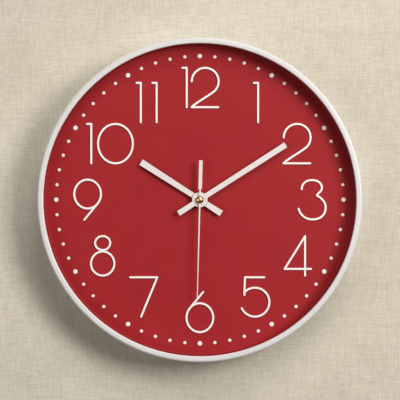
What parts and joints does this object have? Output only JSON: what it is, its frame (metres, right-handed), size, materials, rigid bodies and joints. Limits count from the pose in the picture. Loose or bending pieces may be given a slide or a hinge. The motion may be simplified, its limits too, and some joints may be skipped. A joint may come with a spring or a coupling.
{
  "type": "wall clock",
  "caption": "Round wall clock with a white rim, a red dished dial, raised white numerals and dots, three hands and a battery quartz movement.",
  "frame": {"origin": "on the axis of the hands, in the plane of the wall that the case's back rim rests on", "axes": "-Y out of the dial toward the viewer, +Z toward twelve o'clock, +X toward three o'clock"},
  "size_m": [0.3, 0.04, 0.3],
  "materials": {
    "white_rim": "gloss",
    "white_case": "satin",
    "clear_lens": "clear",
    "red_dial": "satin",
    "white_numeral": "gloss",
    "white_hand": "painted",
    "brass": "polished",
    "screw_steel": "plated",
    "black_case": "satin",
    "gear_nylon": "satin",
    "soft_rubber": "matte",
    "green_board": "satin",
    "chip_black": "satin",
    "bright_can": "satin",
    "copper_wire": "enamelled",
    "stator_steel": "brushed",
    "magnet": "satin",
    "contact_metal": "plated",
    "cell_sleeve": "gloss"
  },
  "bodies": {
    "case": {"back_case": "white_case", "front_bezel": "white_rim", "lens": "clear_lens", "dial_pan": "red_dial", "numeral_1": "white_numeral", "numeral_2": "white_numeral", "numeral_3": "white_numeral", "numeral_4": "white_numeral", "numeral_5": "white_numeral", "numeral_6": "white_numeral", "numeral_7": "white_numeral", "numeral_8": "white_numeral", "numeral_9": "white_numeral", "numeral_10": "white_numeral", "numeral_11": "white_numeral", "numeral_12": "white_numeral", "hour_dots": "white_numeral", "minute_dots": "white_numeral", "case_screws": "screw_steel", "movement_housing": "black_case", "movement_cover": "black_case", "shaft_bushing": "brass", "rubber_washer": "soft_rubber", "flat_washer": "brass", "hex_nut": "brass", "circuit_board": "green_board", "quartz_crystal": "bright_can", "control_chip": "chip_black", "coil_bobbin": "gear_nylon", "coil_winding": "copper_wire", "stator": "stator_steel", "contact_positive": "contact_metal", "contact_negative": "contact_metal"},
    "cell": {"battery": "cell_sleeve"},
    "second_group": {"second_hand": "white_hand", "hand_cap": "brass", "second_wheel": "gear_nylon"},
    "minute_group": {"minute_hand": "white_hand", "minute_pipe": "brass"},
    "hour_group": {"hour_hand": "white_hand", "hour_wheel": "gear_nylon"},
    "rotor": {"rotor_pinion": "gear_nylon", "rotor_magnet": "magnet"},
    "intermediate": {"intermediate_wheel": "gear_nylon"},
    "third": {"third_wheel": "gear_nylon"},
    "centre": {"centre_wheel": "gear_nylon"},
    "motion_work": {"minute_wheel": "gear_nylon", "time_set_knob": "black_case"}
  },
  "joints": [
    {"name": "second_hand", "type": "hinge", "parent": "case", "child": "second_group", "pos_m": [0, -0.03, 0], "axis": [0, 1, 0], "continuous": true},
    {"name": "third_wheel", "type": "hinge", "parent": "case", "child": "third", "pos_m": [0.0094, -0.01, 0.00342], "axis": [0, 1, 0], "continuous": true},
    {"name": "centre_wheel", "type": "hinge", "parent": "case", "child": "centre", "pos_m": [0, -0.011, 0], "axis": [0, 1, 0], "continuous": true},
    {"name": "intermediate_wheel", "type": "hinge", "parent": "case", "child": "intermediate", "pos_m": [-0.0094, -0.01, 0.00342], "axis": [0, 1, 0], "continuous": true},
    {"name": "rotor", "type": "hinge", "parent": "case", "child": "rotor", "pos_m": [-0.01684, -0.01, 0.00772], "axis": [0, 1, 0], "continuous": true},
    {"name": "minute_hand", "type": "hinge", "parent": "case", "child": "minute_group", "pos_m": [0, -0.028, 0], "axis": [0, 1, 0], "continuous": true},
    {"name": "motion_work", "type": "hinge", "parent": "case", "child": "motion_work", "pos_m": [0, -0.01, 0.0105], "axis": [0, 1, 0], "continuous": true},
    {"name": "hour_hand", "type": "hinge", "parent": "case", "child": "hour_group", "pos_m": [0, -0.026, 0], "axis": [0, 1, 0], "continuous": true},
    {"name": "cell_removal", "type": "slide", "parent": "case", "child": "cell", "axis": [0, 1, 0], "range_m": [0, 0.022]}
  ],
  "couplings": [
    {"joint": "intermediate_wheel", "follows": "second_hand", "ratio": -6},
    {"joint": "rotor", "follows": "second_hand", "ratio": 30},
    {"joint": "third_wheel", "follows": "second_hand", "ratio": -0.13333},
    {"joint": "centre_wheel", "follows": "second_hand", "ratio": 0.016667},
    {"joint": "motion_work", "follows": "minute_hand", "ratio": -0.33333},
    {"joint": "hour_hand", "follows": "minute_hand", "ratio": 0.083333}
  ]
}
